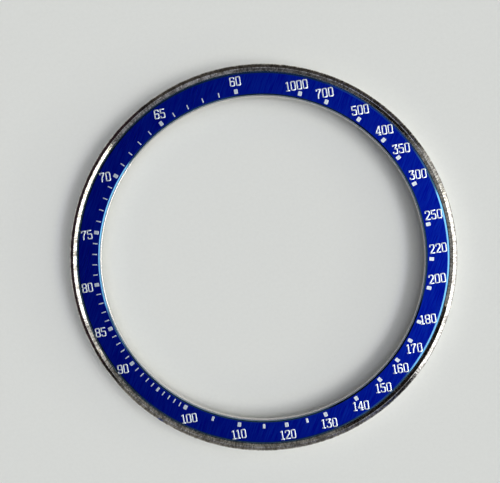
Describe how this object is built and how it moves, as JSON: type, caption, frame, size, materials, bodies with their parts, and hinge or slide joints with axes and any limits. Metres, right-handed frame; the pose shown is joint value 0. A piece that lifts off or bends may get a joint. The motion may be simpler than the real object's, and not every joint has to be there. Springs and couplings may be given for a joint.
{
  "type": "watch bezel",
  "caption": "Fixed chronograph bezel: polished steel ring with a raised rim round a recessed blue insert that carries a white average-speed scale.",
  "frame": {"origin": "centre of the ring, in the plane of its back face", "axes": "+Z along the ring's axis, out of the scale side; +Y to the 60 mark at 12 o'clock; +X to 3 o'clock"},
  "size_m": [0.04, 0.04, 0.0024],
  "materials": {
    "polished_steel": "stainless steel, turned and mirror polished",
    "adhesive_film": "double-sided adhesive film",
    "blue_anodised_aluminium": "deep blue anodised, fine brushed face and bright bevels",
    "white_lacquer": "white lacquer filled into engraved pockets"
  },
  "bodies": {
    "root": {"bezel_ring": "polished_steel", "adhesive_ring": "adhesive_film", "scale_insert": "blue_anodised_aluminium", "index_pips": "white_lacquer", "half_step_marks": "white_lacquer", "unit_ticks": "white_lacquer"}
  },
  "joints": []
}
